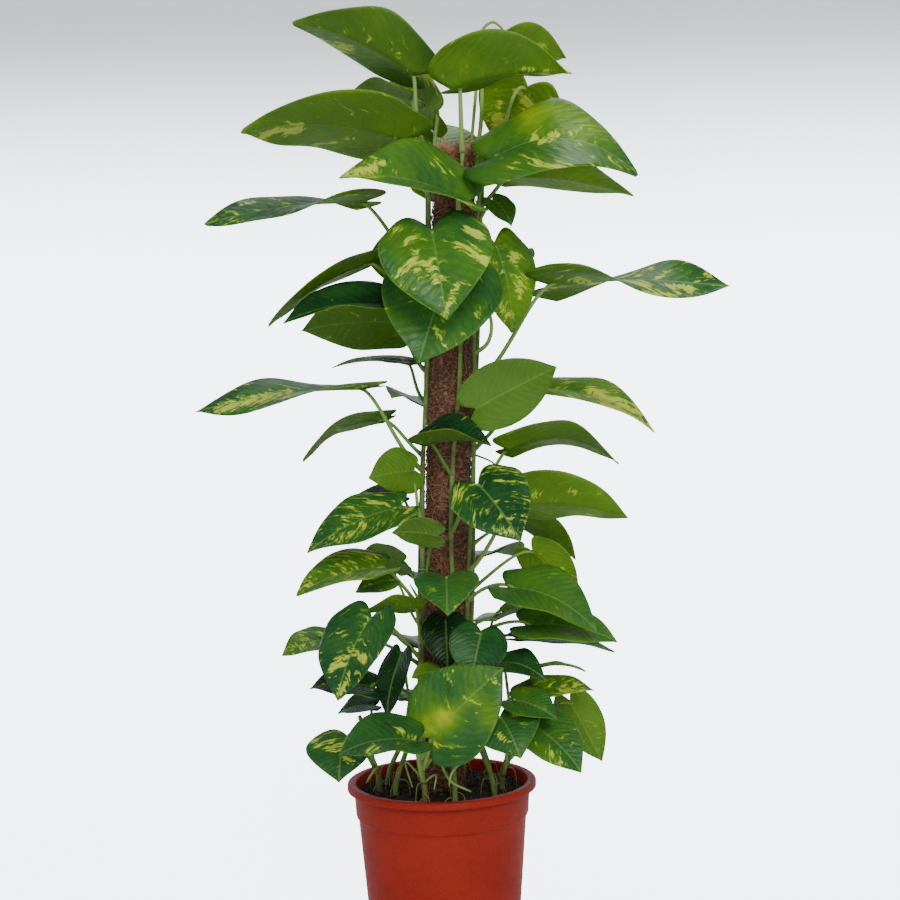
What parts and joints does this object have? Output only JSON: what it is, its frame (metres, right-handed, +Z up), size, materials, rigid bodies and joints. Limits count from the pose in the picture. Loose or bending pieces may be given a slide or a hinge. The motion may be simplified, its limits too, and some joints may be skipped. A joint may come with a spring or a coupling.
{
  "type": "potted climbing house plant",
  "caption": "Golden pothos with heart-shaped leaves climbing a coir pole in a plain round plastic nursery pot filled with soil.",
  "frame": {"origin": "middle of the pot's flat underside", "axes": "+Z up along the pot, -Y towards the front of the plant, +X to its right as seen from the front"},
  "size_m": [0.5252, 0.3076, 0.9459],
  "materials": {
    "pot": "satin terracotta-red moulded plastic",
    "soil": "dark crumbly potting compost",
    "stake": "plain round wood",
    "coir": "bound reddish-brown coconut fibre",
    "leaf": "glossy green leaves with pale yellow streaks, and green stalks",
    "wire": "bare wire"
  },
  "bodies": {
    "root": {"pot": "pot", "soil": "soil", "stake": "stake", "coir": "coir", "vine_1": "leaf", "vine_2": "leaf", "vine_3": "leaf", "vine_4": "leaf", "vine_5": "leaf", "vine_6": "leaf", "vine_7": "leaf", "vine_8": "leaf", "vine_9": "leaf", "vine_10": "leaf", "pin_1": "wire", "pin_2": "wire", "pin_3": "wire", "pin_4": "wire", "pin_5": "wire", "pin_6": "wire"}
  },
  "joints": []
}
